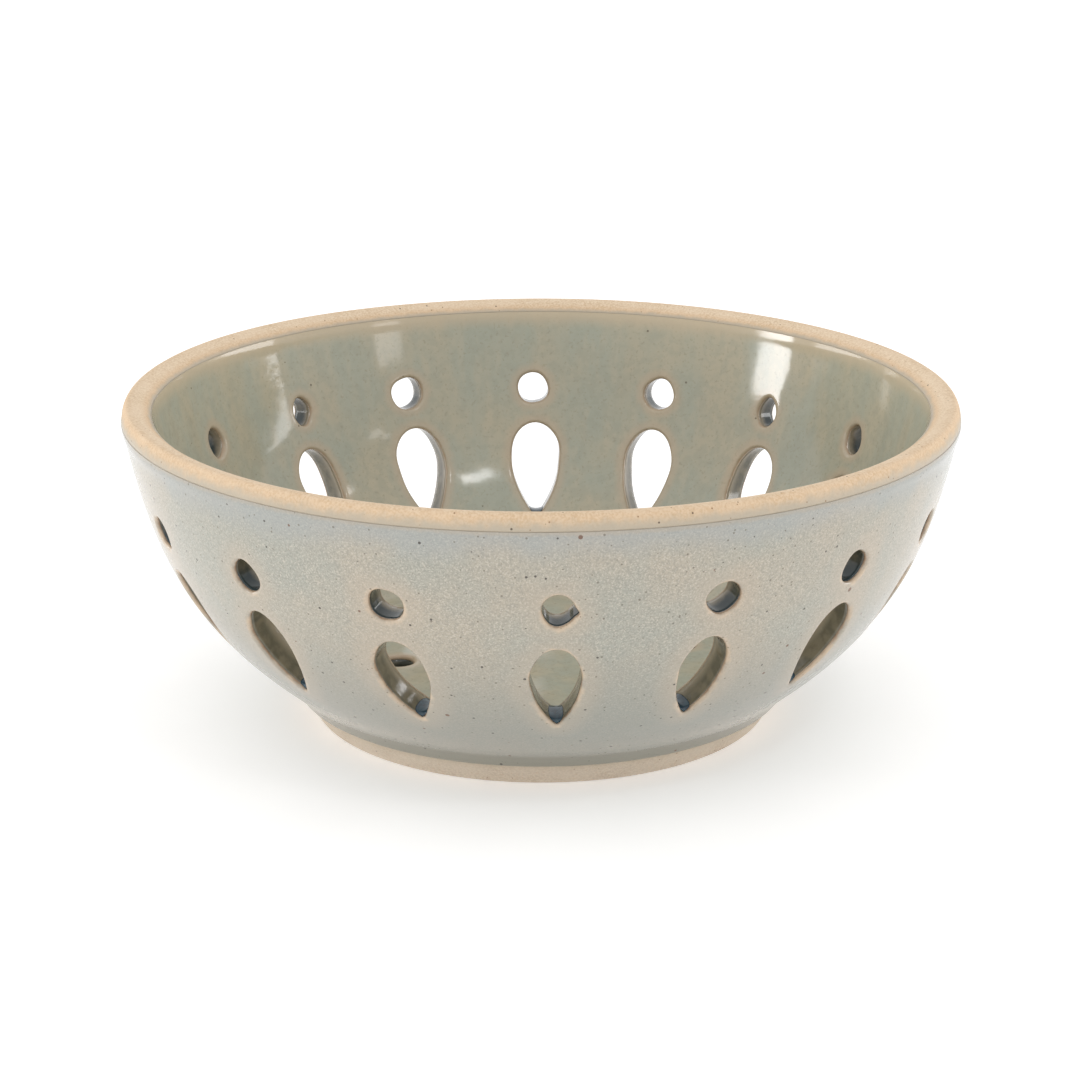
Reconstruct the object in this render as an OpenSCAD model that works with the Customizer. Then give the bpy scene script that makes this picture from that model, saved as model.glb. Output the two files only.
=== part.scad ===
// Berry colander bowl: a small wheel-thrown stoneware bowl on a trimmed foot ring.
// Sixteen pairs of a round hole over a leaf-shaped hole pierce the wall, drains pierce the floor,
// and a fused coat of glaze covers all but the lip and the foot.
// The origin is the centre of the foot's resting plane, +Z is up, and one pair faces -Y.

/* [Bowl] */
// Outer diameter at the lip
rim_d = 127; // [100:1:160]
// Overall height
bowl_h = 49.8; // [44:0.1:62]
// Thickness of the finished wall, glaze included
wall_t = 4.6; // [3.6:0.1:6]
// Height of the bare lip above the glaze line
lip_h = 2.4; // [1.8:0.1:4]

/* [Wall curve] */
// Outer diameter at the crease, where the wall springs from the foot
crease_d = 77.2; // [66:0.2:86]
// Climb of the wall at the crease, in degrees above level
spring_angle = 36.4; // [30:0.2:44]
// How far the wall holds that climb, as the length of the curve's first handle
spring_reach = 20.6; // [14:0.1:24]
// Climb of the wall just under the lip, in degrees above level
lip_angle = 79.4; // [74:0.2:86]
// How far the wall holds that climb, as the length of the curve's last handle
lip_reach = 19.9; // [14:0.1:24]

/* [Foot and floor] */
// Outer diameter of the foot where it rests
foot_d = 71.2; // [60:0.2:76]
// Height of the crease above the resting plane
foot_h = 5; // [4:0.1:7]
// Width of the foot ring where it rests
foot_ring_w = 6; // [4:0.1:8]
// Rounding of the foot ring's bottom edges
foot_round = 0.5; // [0.3:0.1:1.2]
// Thickness of the finished floor, glaze included
floor_t = 5; // [3.8:0.1:6]
// Radius of the hollow curve between the floor and the wall
floor_round = 7.4; // [6:0.1:10]

/* [Holes] */
// Number of hole pairs round the wall
pair_count = 16; // [8:1:18]
// Tilt of every wall hole below level, going outwards, in degrees
hole_tilt = 8; // [0:1:16]
// Diameter of the round holes
round_d = 5; // [3:0.1:6]
// Height of the round holes' centres on the outer face
round_z = 35; // [33.5:0.1:40]
// Greatest width of the leaf holes
leaf_w = 7.7; // [5:0.1:9.5]
// Length of a leaf hole above its widest place
leaf_top = 5.4; // [3:0.1:6]
// Length of a leaf hole below its widest place, to the point
leaf_bottom = 9.9; // [8:0.1:12]
// Height of the leaf holes' widest place on the outer face
leaf_z = 23.8; // [23:0.1:25]
// Diameter of the drains in the floor
drain_d = 4.4; // [3:0.1:7]
// Clay left between the ring of drains and the inner side of the foot ring
drain_margin = 5; // [3:0.1:12]
// Number of drains, which stand in a ring
drain_count = 6; // [3:1:8]
// Turn of the first drain from +X, in degrees
drain_turn = 7.5; // [0:0.5:60]

/* [Glaze] */
// Thickness of the fired glaze
glaze_t = 0.35; // [0.2:0.05:0.6]
// How far the outer glaze runs down over the foot
glaze_skirt = 1.6; // [0.6:0.1:2.4]
// Height of the pooled glaze in the point of each leaf hole
bead_h = 1.2; // [0.6:0.1:2]
// Sag of the pooled glaze's hollow surface
bead_sag = 0.3; // [0.1:0.05:0.5]

/* [Hidden] */
$fn = 96;

clay_colour = [0.85, 0.76, 0.65];
outer_colour = [0.69, 0.69, 0.63];
inner_colour = [0.60, 0.61, 0.54];
lining_colour = [0.44, 0.45, 0.38];
pool_colour = [0.16, 0.29, 0.35];

wall_steps = 18;
curve_steps = 5;
leaf_top_steps = 10;
leaf_side_steps = 8;
search_steps = 30;
overrun = 1;
// Share of the glaze's thickness that is left at the lower end of its skirt on the foot
skirt_end_share = 0.6;
// Share of the wall's thickness that the lip's outer rounding takes up
lip_outer_share = 0.24;

pair_turn = 360 / pair_count;
clay_out = glaze_t;
clay_in = wall_t - glaze_t;
drain_turn_step = 360 / drain_count;

// A point and an outward direction on the wall's outer face: a cubic curve in radius and height,
// with t from 0 at the crease to 1 under the lip.
crease = [crease_d / 2, foot_h];
lip = [rim_d / 2, bowl_h - lip_h];
spring_handle = crease + spring_reach * [cos(spring_angle), sin(spring_angle)];
lip_handle = lip - lip_reach * [cos(lip_angle), sin(lip_angle)];

function face(t) =
    pow(1 - t, 3) * crease + 3 * pow(1 - t, 2) * t * spring_handle
    + 3 * (1 - t) * t * t * lip_handle + pow(t, 3) * lip;
function heading(t) =
    pow(1 - t, 2) * (spring_handle - crease) + 2 * (1 - t) * t * (lip_handle - spring_handle)
    + t * t * (lip - lip_handle);
function outward(t) = [heading(t)[1], -heading(t)[0]] / norm(heading(t));
function below(t, depth) = face(t) - depth * outward(t);
// The t at which the outer face passes a height, by halving the interval.
function t_at(z, low = 0, high = 1, left = search_steps) =
    left == 0 ? (low + high) / 2
    : face((low + high) / 2)[1] < z ? t_at(z, (low + high) / 2, high, left - 1)
    : t_at(z, low, (low + high) / 2, left - 1);

// The outline of a layer of the wall between two depths below its outer face.
function rising(depth) = [for (i = [0 : wall_steps]) below(i / wall_steps, depth)];
function falling(depth) = [for (i = [wall_steps : -1 : 0]) below(i / wall_steps, depth)];
function layer(outer, inner) = concat(rising(outer), falling(inner));

// The inside below the wall: an arc that leaves the wall's foot along its climb and ends level on
// the floor. A layer deeper in the clay has a larger arc about the same centre.
arc_centre = below(0, wall_t) + floor_round * [-sin(spring_angle), cos(spring_angle)];
floor_top = arc_centre[1] - floor_round;
function hollow(depth) = [
    for (i = [0 : curve_steps])
        let (a = spring_angle * (1 - i / curve_steps), r = floor_round + depth)
        arc_centre + r * [sin(a), -cos(a)]
];
recess_top = floor_top - floor_t;
foot_in_r = foot_d / 2 - foot_ring_w;
foot_top = below(0, clay_out);
drain_ring_r = foot_in_r - drain_margin - drain_d / 2;

// A quarter turn of an ellipse about a corner's centre, from one angle to another.
function quarter(centre, across, up, from, to) = [
    for (i = [0 : curve_steps])
        let (a = from + (to - from) * i / curve_steps)
        centre + [across * cos(a), up * sin(a)]
];

// The leaf holes' outline, x down and y across from the widest place: half an ellipse above it,
// and below it two parabolas that meet in a point. The outline grows evenly by a margin.
leaf_side_slope = leaf_w / leaf_bottom;
point_growth = sqrt(1 + 1 / pow(leaf_side_slope, 2));
function leaf_side(share, grow) = [
    share * (leaf_bottom + grow * point_growth),
    (leaf_w / 2 + grow) * (1 - share * share)
];
function leaf_outline(grow) = concat(
    [for (i = [1 : leaf_side_steps]) leaf_side(1 - i / leaf_side_steps, grow)],
    [
        for (i = [1 : leaf_top_steps - 1])
            let (a = 180 * i / leaf_top_steps)
            [-(leaf_top + grow) * sin(a), (leaf_w / 2 + grow) * cos(a)]
    ],
    [
        for (i = [0 : leaf_side_steps])
            let (p = leaf_side(i / leaf_side_steps, grow))
            [p[0], -p[1]]
    ]
);
// The pool in the leaf's point: the outline's last stretch under a hollow surface.
pool_start_share = 1 - bead_h / leaf_bottom;
pool_half_w = leaf_side(pool_start_share, 0)[1];
function pool_outline() = concat(
    [
        for (i = [0 : curve_steps - 1])
            leaf_side(pool_start_share + (1 - pool_start_share) * i / curve_steps, 0)
    ],
    [[leaf_bottom, 0]],
    [
        for (i = [1 : curve_steps])
            let (p = leaf_side(1 - (1 - pool_start_share) * i / curve_steps, 0))
            [p[0], -p[1]]
    ],
    [
        for (i = [1 : curve_steps - 1])
            let (across = 2 * i / curve_steps - 1)
            [leaf_bottom - bead_h + bead_sag * (1 - across * across), pool_half_w * across]
    ]
);

// Cutters for the holes run from inside the wall to outside it along each hole's own axis.
cut_in = leaf_bottom + 2 * wall_t;
cut_out = wall_t + overrun;
module at_pairs(z) {
    for (k = [0 : pair_count - 1])
        rotate([0, 0, k * pair_turn - 90])
            translate([face(t_at(z))[0], 0, z])
                rotate([0, 90 + hole_tilt, 0])
                    translate([0, 0, -cut_in])
                        children();
}
module round_cutters(grow) {
    at_pairs(round_z) cylinder(d = round_d + 2 * grow, h = cut_in + cut_out);
}
module leaf_cutters(grow) {
    at_pairs(leaf_z) linear_extrude(height = cut_in + cut_out) polygon(leaf_outline(grow));
}
module pool_cutters() {
    at_pairs(leaf_z) linear_extrude(height = cut_in + cut_out) polygon(pool_outline());
}
module wall_layer(outer, inner) {
    rotate_extrude() polygon(layer(outer, inner));
}
module drain_cutters(r, low, high) {
    for (k = [0 : drain_count - 1])
        rotate([0, 0, drain_turn + k * drain_turn_step])
            translate([drain_ring_r, 0, low])
                cylinder(r = r, h = high - low);
}

// The ring that the bowl stands on, bare where it rests, with soft bottom edges.
module foot_ring() {
    inner_edge = [foot_in_r + foot_round, foot_round];
    outer_edge = [foot_d / 2 - foot_round, foot_round];
    color(clay_colour)
        rotate_extrude()
            polygon(concat(
                quarter(inner_edge, foot_round, foot_round, 180, 270),
                quarter(outer_edge, foot_round, foot_round, 270, 360),
                [foot_top, [foot_in_r, foot_top[1]]]
            ));
}

// The slab that closes the bowl, stepped to sit in and on the foot ring.
module floor() {
    clay_top = floor_top - glaze_t;
    clay_base = recess_top + glaze_t;
    color(clay_colour)
        difference() {
            rotate_extrude()
                polygon(concat(
                    [
                        [0, clay_base], [foot_in_r, clay_base], [foot_in_r, foot_top[1]],
                        foot_top
                    ],
                    hollow(glaze_t),
                    [[0, clay_top]]
                ));
            drain_cutters(drain_d / 2 + glaze_t, recess_top, floor_top + overrun);
        }
}

// The thrown wall from the crease to the glaze line, pierced by the pairs of holes.
module wall() {
    color(clay_colour)
        difference() {
            wall_layer(clay_out, clay_in);
            round_cutters(glaze_t);
            leaf_cutters(glaze_t);
        }
}

// The bare lip: it rises from the glaze line to a crest near its outer side, and from there falls
// inwards, ever steeper, to the inner coat of glaze.
module rim() {
    inner_base = below(1, wall_t);
    outer_round = lip_outer_share * wall_t;
    crest_r = lip[0] - outer_round;
    color(clay_colour)
        rotate_extrude()
            polygon(concat(
                quarter([crest_r, lip[1]], outer_round, lip_h, 0, 90),
                [
                    for (i = [1 : curve_steps])
                        let (share = i / curve_steps)
                        [
                            crest_r + share * (inner_base[0] - crest_r),
                            bowl_h + share * share * (inner_base[1] - bowl_h)
                        ]
                ]
            ));
}

// The outer coat of glaze, which runs a little way down over the foot.
module outer_glaze() {
    skirt_z = foot_top[1] - glaze_skirt;
    skirt_share = (skirt_z - foot_round) / (foot_top[1] - foot_round);
    skirt_r = foot_d / 2 + (foot_top[0] - foot_d / 2) * skirt_share;
    color(outer_colour)
        difference() {
            union() {
                wall_layer(0, clay_out);
                rotate_extrude()
                    polygon([
                        foot_top, [skirt_r, skirt_z], [skirt_r + skirt_end_share * glaze_t, skirt_z],
                        crease
                    ]);
            }
            round_cutters(0);
            leaf_cutters(0);
        }
}

// The inner coat of glaze, over the wall, the hollow curve and the floor.
module inner_glaze() {
    color(inner_colour)
        difference() {
            rotate_extrude()
                polygon(concat(
                    rising(clay_in),
                    falling(wall_t),
                    [for (i = [1 : curve_steps]) hollow(0)[i]],
                    [[0, floor_top], [0, floor_top - glaze_t]],
                    [for (i = [curve_steps : -1 : 1]) hollow(glaze_t)[i]]
                ));
            round_cutters(0);
            leaf_cutters(0);
            drain_cutters(drain_d / 2, recess_top, floor_top + overrun);
        }
}

// The coat of glaze on the ceiling of the recess inside the foot ring.
module underside_glaze() {
    color(outer_colour)
        difference() {
            translate([0, 0, recess_top]) cylinder(r = foot_in_r, h = glaze_t);
            drain_cutters(drain_d / 2, recess_top - overrun, floor_top);
        }
}

// The glaze that lines the sixteen round holes through the clay.
module round_hole_glaze() {
    color(lining_colour)
        intersection() {
            wall_layer(clay_out, clay_in);
            difference() {
                round_cutters(glaze_t);
                round_cutters(0);
            }
        }
}

// The glaze that lines the sixteen leaf holes through the clay.
module leaf_hole_glaze() {
    color(lining_colour)
        intersection() {
            wall_layer(clay_out, clay_in);
            difference() {
                leaf_cutters(glaze_t);
                leaf_cutters(0);
            }
        }
}

// The thick pools of glaze that gathered in the points of the leaf holes.
module leaf_tip_beads() {
    color(pool_colour)
        intersection() {
            wall_layer(0, wall_t);
            pool_cutters();
        }
}

// The glaze that lines the drains through the floor's clay.
module drain_hole_glaze() {
    color(lining_colour)
        difference() {
            drain_cutters(drain_d / 2 + glaze_t, recess_top + glaze_t, floor_top - glaze_t);
            drain_cutters(drain_d / 2, recess_top, floor_top);
        }
}

foot_ring();
floor();
wall();
rim();
outer_glaze();
inner_glaze();
underside_glaze();
round_hole_glaze();
leaf_hole_glaze();
leaf_tip_beads();
drain_hole_glaze();
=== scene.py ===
import bmesh
import bpy
import numpy as np
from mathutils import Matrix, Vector


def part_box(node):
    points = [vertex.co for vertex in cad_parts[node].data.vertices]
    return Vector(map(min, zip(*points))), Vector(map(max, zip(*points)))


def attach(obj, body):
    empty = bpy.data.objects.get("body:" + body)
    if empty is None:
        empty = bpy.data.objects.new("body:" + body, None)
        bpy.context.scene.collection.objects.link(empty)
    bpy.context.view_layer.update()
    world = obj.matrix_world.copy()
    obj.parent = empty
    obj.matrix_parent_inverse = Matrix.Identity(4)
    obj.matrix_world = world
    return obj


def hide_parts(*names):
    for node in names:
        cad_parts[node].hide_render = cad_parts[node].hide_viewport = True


# A small wheel-thrown berry colander bowl of glazed stoneware. Lengths are in millimetres and
# become metres where a mesh is made. The clay comes first, then each coat of glaze, then the studio.
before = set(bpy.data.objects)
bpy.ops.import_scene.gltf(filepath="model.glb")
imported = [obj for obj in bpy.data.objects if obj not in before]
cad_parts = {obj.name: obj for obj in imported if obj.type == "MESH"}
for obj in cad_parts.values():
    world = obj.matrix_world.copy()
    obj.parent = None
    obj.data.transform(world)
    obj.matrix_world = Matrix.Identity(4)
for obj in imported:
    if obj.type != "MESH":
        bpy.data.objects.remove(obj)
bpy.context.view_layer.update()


# Foot ring: the trimmed ring of clay that the bowl stands on. It is bare, sandy stoneware,
# turned on the wheel with a loop tool once the bowl was leather-hard, which left soft edges.
MM = 0.001
TURN = 2 * np.pi
weld_gap = 0.002
rim_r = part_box("rim")[1][0] / MM
bowl_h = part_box("rim")[1][2] / MM
glaze_t = 0.35
lip_h = 2.4
crease_r, foot_h = 38.6, 5.0
spring_angle, spring_reach = np.radians(36.4), 20.6
lip_angle, lip_reach = np.radians(79.4), 19.9
foot_r, foot_round, foot_in_r = 35.6, 0.5, 29.6
foot_join = 0.035
skirt_z = 3.75
pair_count = 16
columns_per_pair = 18
columns = pair_count * columns_per_pair

crease = np.array([crease_r, foot_h])
lip = np.array([rim_r, bowl_h - lip_h])
spring_handle = crease + spring_reach * np.array([np.cos(spring_angle), np.sin(spring_angle)])
lip_handle = lip - lip_reach * np.array([np.cos(lip_angle), np.sin(lip_angle)])


def below(t, depth):
    """Radius and height under the wall's outer face: a cubic curve from the crease (t 0) to the
    lip (t 1), less depth times the curve's outward normal."""
    t = np.asarray(t, float)[..., None]
    s = 1 - t
    point = s**3 * crease + 3 * s * s * t * spring_handle + 3 * s * t * t * lip_handle + t**3 * lip
    heading = s * s * (spring_handle - crease) + 2 * s * t * (lip_handle - spring_handle)
    heading = heading + t * t * (lip - lip_handle)
    normal = np.stack([heading[..., 1], -heading[..., 0]], -1)
    normal /= np.linalg.norm(normal, axis=-1, keepdims=True)
    return point - np.asarray(depth, float)[..., None] * normal


def around(theta, profile):
    """Points at azimuth theta on a profile of radius and height: r cos, r sin, z."""
    r, z = profile[..., 0], profile[..., 1]
    return np.stack(np.broadcast_arrays(r * np.cos(theta), r * np.sin(theta), z), -1)


def hand_thrown(points):
    """The wheel's and the kiln's small departures from round: two, three and seven waves round
    the bowl, growing with height, and a lip that isn't quite level."""
    out_of_round, out_of_level = 0.14, 0.06
    x, y, z = points[..., 0], points[..., 1], points[..., 2]
    theta = np.arctan2(y, x)
    rise = np.clip(z / bowl_h, 0, 1)
    swing = np.cos(2 * theta + 0.7) + 0.5 * np.cos(3 * theta - 1.1) + 0.22 * np.cos(7 * theta + 2)
    out = 1 + out_of_round * swing * rise / rim_r
    lift = out_of_level * rise**2 * (np.cos(2 * theta + 2.2) + 0.5 * np.cos(5 * theta))
    return np.stack([x * out, y * out, z + lift], -1)


def make_piece(name, patches, replaced, material):
    """A closed mesh from stacks of grids. Each patch is an array whose last three axes are rows,
    columns and x, y, z, with a dict of one value per point; grids that share an edge are welded."""
    points = np.concatenate([grid.reshape(-1, 3) for grid, _ in patches])
    faces, start = [], 0
    for grid, _ in patches:
        index = np.arange(grid[..., 0].size).reshape(-1, grid.shape[-3], grid.shape[-2]) + start
        corners = [index[:, :-1, :-1], index[:, :-1, 1:], index[:, 1:, 1:], index[:, 1:, :-1]]
        faces.append(np.stack(corners, -1).reshape(-1, 4))
        start += grid[..., 0].size
    mesh = bpy.data.meshes.new(name)
    mesh.from_pydata((hand_thrown(points) * MM).tolist(), [], np.concatenate(faces).tolist())
    for key in patches[0][1]:
        values = [np.broadcast_to(held[key], grid.shape[:-1]).ravel() for grid, held in patches]
        layer = mesh.attributes.new(key, "FLOAT", "POINT")
        layer.data.foreach_set("value", np.concatenate(values).astype(np.float32))
    work = bmesh.new()
    work.from_mesh(mesh)
    bmesh.ops.remove_doubles(work, verts=work.verts, dist=weld_gap * MM)
    bmesh.ops.dissolve_degenerate(work, edges=work.edges, dist=weld_gap * MM)
    bmesh.ops.recalc_face_normals(work, faces=work.faces)
    work.to_mesh(mesh)
    work.free()
    mesh.shade_smooth()
    mesh.materials.append(material)
    piece = bpy.data.objects.new(name, mesh)
    bpy.context.scene.collection.objects.link(piece)
    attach(piece, "root")
    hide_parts(replaced)
    return piece


class Value:
    """A socket of a node graph. Arithmetic on it adds Math nodes."""

    def __init__(self, graph, socket):
        self.graph, self.socket = graph, socket

    def math(self, operation, *inputs):
        return self.graph.node("ShaderNodeMath", {"operation": operation}, dict(enumerate(inputs)))

    def __add__(self, other):
        return self.math("ADD", self, other)

    def __sub__(self, other):
        return self.math("SUBTRACT", self, other)

    def __rsub__(self, other):
        return self.math("SUBTRACT", other, self)

    def __mul__(self, other):
        return self.math("MULTIPLY", self, other)

    __radd__ = __add__
    __rmul__ = __mul__


class Graph:
    """The node graph of a material or of the world. node() adds any node: its type, its settings,
    its inputs and the output that is wanted of it."""

    def __init__(self, owner):
        self.owner = owner
        self.owner.use_nodes = True
        self.tree = self.owner.node_tree
        self.tree.nodes.clear()

    def node(self, kind, settings=(), inputs=(), out=0):
        made = self.tree.nodes.new(kind)
        for key, value in dict(settings).items():
            setattr(made, key, value)
        for key, value in dict(inputs).items():
            if isinstance(value, Value):
                self.tree.links.new(value.socket, made.inputs[key])
            else:
                made.inputs[key].default_value = value
        return Value(self, made.outputs[out]) if made.outputs else None

    def ease(self, value, low, high, start=0.0, end=1.0):
        """A smooth step of a value from start at low to end at high."""
        inputs = {"Value": value, "From Min": low, "From Max": high, "To Min": start, "To Max": end}
        return self.node("ShaderNodeMapRange", {"interpolation_type": "SMOOTHSTEP"}, inputs)

    def mix(self, share, first, second):
        """Colours mixed by a share: first at 0, second at 1."""
        return self.node("ShaderNodeMix", {"data_type": "RGBA"}, {0: share, 6: first, 7: second}, out=2)


class Finish(Graph):
    """A material. Its patterns lie in the object's own coordinates, in millimetres."""

    def __init__(self, name):
        super().__init__(bpy.data.materials.new(name))
        place = self.node("ShaderNodeTexCoord", out="Object")
        self.place = self.node("ShaderNodeVectorMath", {"operation": "SCALE"}, {0: place, 3: 1 / MM})

    def attribute(self, name):
        return self.node("ShaderNodeAttribute", {"attribute_name": name}, out="Fac")

    def height(self):
        return self.node("ShaderNodeSeparateXYZ", (), {0: self.place}, out="Z")

    def noise(self, size, detail=2.0, place=None):
        """Cloudy noise from 0 to 1 whose blotches are about size millimetres across."""
        inputs = {"Vector": place or self.place, "Scale": 1 / size, "Detail": detail}
        return self.node("ShaderNodeTexNoise", (), inputs)

    def drawn_out(self, upright):
        """The place to read a noise at so that its blotches are drawn out up and down: heights
        count only for the share upright."""
        inputs = {0: self.place, 1: (1, 1, upright)}
        return self.node("ShaderNodeVectorMath", {"operation": "MULTIPLY"}, inputs)

    def specks(self, spacing, size, chance):
        """Round specks in a share chance of the cells spacing millimetres apart, size in radius."""
        cells = {"Vector": self.place, "Scale": 1 / spacing}
        reach = self.node("ShaderNodeTexVoronoi", (), cells, out="Distance")
        cell_colour = self.node("ShaderNodeTexVoronoi", (), cells, out="Color")
        draw = self.node("ShaderNodeSeparateColor", (), {0: cell_colour})
        pick = self.node("ShaderNodeSeparateColor", (), {0: cell_colour}, out=1)
        there = draw.math("LESS_THAN", draw, chance)
        radius = (pick * 0.7 + 0.3) * (size / spacing)
        return self.ease(reach - radius, 0.0, -0.25 * size / spacing) * there

    def close(self, inputs, bump=()):
        """The surface itself: a Principled shader, with a Bump on its normal where one is given."""
        if bump:
            inputs = {**inputs, "Normal": self.node("ShaderNodeBump", (), bump)}
        shader = self.node("ShaderNodeBsdfPrincipled", (), inputs)
        self.node("ShaderNodeOutputMaterial", (), {"Surface": shader})
        return self.owner


def tone(red, green, blue):
    """A colour as a screen shows it, 0 to 255, as the linear colour that a shader takes."""
    c = np.array([red, green, blue]) / 255
    linear = np.where(c <= 0.04045, c / 12.92, ((c + 0.055) / 1.055) ** 2.4)
    return (*linear.tolist(), 1.0)


def bare_clay(name, fair, deep, sand, toasted, washed, wash):
    """Sandy unglazed stoneware: clouds of two clay tones, pale grains of sand and brown iron
    specks. By the distance to the glaze that the mesh carries, it toasts towards the glaze, and
    within wash millimetres a thin film of glaze was left on it."""
    bare = Finish(name)
    grain = bare.noise(0.32, 3)
    near = bare.attribute("glaze_line") + (bare.noise(1.6, 2) - 0.5) * 0.8
    clay = bare.mix(bare.ease(bare.noise(7.0, 3), 0.35, 0.65), fair, deep)
    clay = bare.mix(bare.ease(grain, 0.34, 0.66), clay, sand)
    clay = bare.mix(bare.ease(bare.noise(0.5, 2), 0.60, 0.70) * 0.3, clay, tone(184, 152, 118))
    clay = bare.mix(bare.ease(near, wash + 1.5, wash + 0.1) * 0.35, clay, toasted)
    clay = bare.mix(bare.ease(near, wash + 0.5, wash - 0.5) * 0.8, clay, washed)
    clay = bare.mix(bare.specks(0.9, 0.18, 0.24) * 0.75, clay, tone(132, 96, 66))
    clay = bare.mix(bare.specks(1.5, 0.22, 0.18) * 0.85, clay, tone(78, 66, 56))
    rough = bare.ease(near, wash + 0.3, wash - 0.6, 0.86, 0.3)
    bumps = grain * 0.6 + bare.noise(0.9, 2) * 0.4
    return bare.close(
        {"Base Color": clay, "Roughness": rough, "Specular IOR Level": 0.25},
        {"Strength": 0.5, "Distance": 0.10 * MM, "Height": bumps},
    )


def turned(profile, values):
    """A profile of radius and height swept round the axis, with one value per profile point."""
    grid = around(np.linspace(0, TURN, columns + 1)[None, :], profile[:, None, :])
    return grid, {key: np.broadcast_to(v[:, None], grid.shape[:2]) for key, v in values.items()}


def arc(centre, across, up, start, end, steps):
    """A stretch of an ellipse about a centre, from one angle to another, in degrees."""
    angle = np.radians(np.linspace(start, end, steps + 1))
    return np.stack([centre[0] + across * np.cos(angle), centre[1] + up * np.sin(angle)], -1)


def straight(start, end, steps):
    return np.linspace(start, end, steps + 1)


def along(profile):
    """The distance along a profile from its first point."""
    return np.r_[0, np.cumsum(np.linalg.norm(np.diff(profile, axis=0), axis=1))]


foot_seat = below(0, glaze_t)
foot_top = below(foot_join, glaze_t)
skirt_r = foot_r + (foot_top[0] - foot_r) * (skirt_z - foot_round) / (foot_top[1] - foot_round)
foot_profile = np.concatenate([
    straight([foot_in_r, foot_seat[1]], [foot_in_r, foot_round], 8)[:-1],
    arc([foot_in_r + foot_round, foot_round], foot_round, foot_round, 180, 270, 6),
    arc([foot_r - foot_round, foot_round], foot_round, foot_round, 270, 360, 6),
    straight([foot_r, foot_round], foot_top, 18)[1:],
    straight(foot_top, foot_seat, 2)[1:],
    straight(foot_seat, [foot_in_r, foot_seat[1]], 2)[1:],
])

# The glaze ends at skirt_z on the outer side, so the rest of the ring counts as far from it.
outer_band, far_from_glaze = 0.1, 9.0
foot_line = np.abs(foot_profile[:, 1] - skirt_z)
foot_line += far_from_glaze * (foot_profile[:, 0] < foot_r - outer_band)
foot_clay = bare_clay(
    "foot_clay", tone(197, 184, 167), tone(188, 173, 155), tone(207, 194, 177),
    tone(180, 163, 140), tone(160, 152, 134), 0.1,
)
make_piece(
    "bare_foot_ring", [turned(foot_profile, {"glaze_line": foot_line})],
    "foot_ring", foot_clay,
)


# Rim: the lip of the bowl, thrown with its crest near the outer side and a slope that falls ever
# steeper inwards. It was wiped clean of glaze before firing, so it is bare sandy clay that toasted
# to orange-brown where it meets the glaze, and a film of glaze was left on its outer side.
wall_t = 4.6
lip_outer_share = 0.24
film_share = 0.5
slope_steps = 16
lip_outer_round = lip_outer_share * wall_t
inner_base = below(1, wall_t)
crest = np.array([lip[0] - lip_outer_round, bowl_h])
slope_share = np.linspace(0, 1, slope_steps + 1)[1:]
slope = crest + np.stack([slope_share, slope_share**2], -1) * (inner_base - crest)
rim_profile = np.concatenate([
    arc([crest[0], lip[1]], lip_outer_round, lip_h, 0, 90, 14), slope,
])
rim_run = along(rim_profile)
rim_line = np.minimum(film_share * rim_run, rim_run[-1] - rim_run)
rim_clay = bare_clay(
    "rim_clay", tone(219, 195, 166), tone(211, 186, 155), tone(229, 209, 183),
    tone(204, 165, 121), tone(174, 167, 152), 0.6,
)
rim_seat = straight(inner_base, lip, 4)
make_piece(
    "bare_rim",
    [
        turned(rim_profile, {"glaze_line": rim_line}),
        turned(rim_seat, {"glaze_line": np.zeros(len(rim_seat))}),
    ],
    "rim", rim_clay,
)


# Wall: the thrown stoneware wall, pierced by hand while it was leather-hard with sixteen pairs of
# holes, a round one over a leaf-shaped one. Both are cut with their axis sloping a little down
# and outwards, and no two came out quite alike. The clay itself is hidden between the glazes.
hole_tilt = np.radians(8)
round_z, leaf_z = 35.0, 23.8
round_w = 5.0
leaf_w, leaf_top, leaf_bottom = 7.7, 5.4, 9.9
edge_round = 0.6
fillet_steps = 6
half_turn = np.pi / pair_count
heading_of_pair = -np.pi / 2 + np.arange(pair_count) * 2 * half_turn
cell_turn = np.linspace(-half_turn, half_turn, columns_per_pair + 1)
draw = np.random.default_rng(11)

# How each hole departs from the pattern: leaf width, lean of its point, shift across and down,
# then the round hole's width, height, shift across and down. Pair 0 faces -Y, and the numbers
# run anticlockwise seen from above. What isn't given for a pair is a small drawn departure.
width_spread, shape_spread, round_spread = 0.25, 0.22, 0.15
cut = np.zeros((pair_count, 8))
cut[:, 0] = leaf_w + draw.normal(0, width_spread, pair_count)
cut[:, 1:4] = draw.normal(0, shape_spread, (pair_count, 3))
cut[:, 4:6] = round_w + draw.normal(0, round_spread, (pair_count, 2))
cut[:, 6:8] = draw.normal(0, round_spread, (pair_count, 2))
cut[0] = [7.0, 0.35, 0.33, -0.05, 4.6, 5.0, 0.5, -0.3]
cut[1] = [6.8, 0.5, -0.62, -0.25, 5.0, 5.0, 0.0, -0.45]
cut[2, 6:8] = [-0.15, -0.4]
cut[5, 4:8] = [4.2, 4.8, 0.9, 0.4]
cut[6, 4:8] = [3.6, 4.7, 0.5, 0.5]
cut[7] = [8.2, -0.3, -0.2, 0.1, 5.1, 5.3, -0.55, 0.35]
cut[8] = [8.3, 0.0, -0.7, -0.2, 5.2, 5.2, -0.4, 0.2]
cut[9] = [8.4, 0.3, -0.8, -0.35, 5.4, 5.4, -0.2, -0.05]
cut[10] = [7.6, 0.2, -0.9, 0.0, 3.5, 4.5, -1.5, 0.0]
cut[11, 4:8] = [4.2, 4.7, -0.9, 0.0]
cut[14, 6:8] = [0.25, 0.15]
cut[15] = [7.5, 0.3, 0.42, 0.1, 5.0, 5.0, 0.3, 0.1]
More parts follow.
